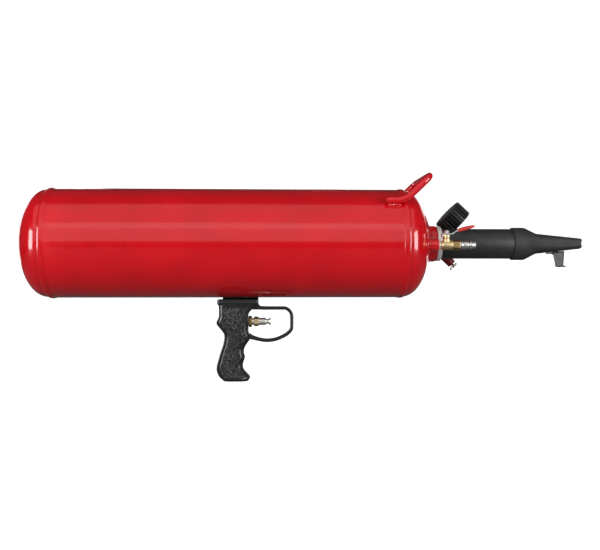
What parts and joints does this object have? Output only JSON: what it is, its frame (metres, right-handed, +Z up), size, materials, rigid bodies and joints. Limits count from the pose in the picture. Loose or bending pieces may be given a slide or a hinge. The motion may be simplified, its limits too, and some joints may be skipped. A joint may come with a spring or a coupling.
{
  "type": "bead seater blaster tank",
  "caption": "Hand-held bead seater: red air tank with a quick-opening blast valve, pistol grip with push trigger, barrel, flat rim nozzle, gauge, relief valve and fill valve",
  "frame": {"origin": "centre of the palm in the pistol grip, under the tank", "axes": "+X along the tank from the rear head to the nozzle, +Y to the side that carries the gauge, +Z up"},
  "size_m": [0.7819, 0.1536, 0.2883],
  "materials": {
    "tank_red": "gloss",
    "fitting_red": "satin",
    "barrel_black": "satin",
    "nozzle_black": "matte",
    "hook_steel": "satin",
    "grip_black": "matte",
    "rubber_black": "matte",
    "plated_steel": "satin",
    "nickel_brass": "gloss",
    "brass": "satin",
    "piston_alloy": "satin",
    "seal_white": "matte",
    "dial_white": "matte",
    "needle_black": "matte",
    "gauge_clear": "gloss",
    "lever_red": "matte"
  },
  "bodies": {
    "tank": {"tank_shell": "tank_red", "rear_head": "tank_red", "front_head": "tank_red", "rear_weld": "tank_red", "front_weld": "tank_red", "neck_boss": "tank_red", "fill_boss": "tank_red", "gauge_boss": "tank_red", "front_handle": "tank_red", "neck_o_ring": "rubber_black", "blast_valve_body": "plated_steel", "blast_seat": "brass", "piston_spring": "plated_steel", "valve_rear_cap": "plated_steel", "pilot_tube": "plated_steel", "pilot_pipe": "plated_steel", "pilot_bulkhead": "brass", "barrel_tube": "barrel_black", "nozzle": "nozzle_black", "rim_hook": "hook_steel", "hook_rivet_near": "hook_steel", "hook_rivet_far": "hook_steel", "grip_bracket": "barrel_black", "grip_near_half": "grip_black", "grip_far_half": "grip_black", "grip_screw_1": "plated_steel", "grip_screw_2": "plated_steel", "grip_screw_3": "plated_steel", "trigger_nut": "nickel_brass", "trigger_valve_body": "nickel_brass", "trigger_spring": "plated_steel", "fill_valve_body": "brass", "fill_seat_rear": "seal_white", "fill_seat_front": "seal_white", "fill_valve_end": "brass", "fill_plug": "plated_steel", "gauge_manifold": "fitting_red", "gauge_case": "barrel_black", "gauge_boot": "rubber_black", "gauge_dial": "dial_white", "gauge_lens": "gauge_clear", "bourdon_tube": "brass", "relief_body": "fitting_red", "relief_spring": "plated_steel"},
    "trigger": {"trigger_plunger": "nickel_brass", "trigger_o_ring": "rubber_black"},
    "piston": {"blast_piston": "piston_alloy", "piston_seal": "rubber_black", "piston_o_ring": "rubber_black"},
    "fill_handle": {"fill_ball": "nickel_brass", "fill_stem": "brass", "fill_lever": "plated_steel", "lever_sleeve": "lever_red", "lever_nut": "plated_steel"},
    "needle": {"gauge_needle": "needle_black"},
    "relief_pull": {"relief_stem": "brass"},
    "pull_ring": {"relief_ring": "plated_steel"}
  },
  "joints": [
    {"name": "trigger_press", "type": "slide", "parent": "tank", "child": "trigger", "axis": [-1, 0, 0], "range_m": [0, 0.0035], "stiffness_N_per_m": 1200, "springref_m": -0.003, "deforming": ["trigger_spring"]},
    {"name": "blast_open", "type": "slide", "parent": "tank", "child": "piston", "axis": [-1, 0, 0], "range_m": [0, 0.012], "stiffness_N_per_m": 900, "springref_m": -0.008, "deforming": ["piston_spring"]},
    {"name": "fill_lever_turn", "type": "hinge", "parent": "tank", "child": "fill_handle", "pos_m": [0.2935, -0.045, 0.1465], "axis": [0, 0, -1], "range_deg": [0, 90]},
    {"name": "needle_turn", "type": "hinge", "parent": "tank", "child": "needle", "pos_m": [0.32294, 0.045, 0.1886], "axis": [0.7314, 0, -0.682], "range_deg": [0, 270], "stiffness_Nm_per_rad": 0.001},
    {"name": "relief_lift", "type": "slide", "parent": "tank", "child": "relief_pull", "axis": [0.7071, 0, -0.7071], "range_m": [0, 0.003], "stiffness_N_per_m": 1200, "springref_m": -0.003, "deforming": ["relief_spring"]},
    {"name": "ring_swing", "type": "hinge", "parent": "relief_pull", "child": "pull_ring", "pos_m": [0.32365, 0.045, 0.12005], "axis": [-0.7071, 0, -0.7071], "range_deg": [0, 140]}
  ]
}
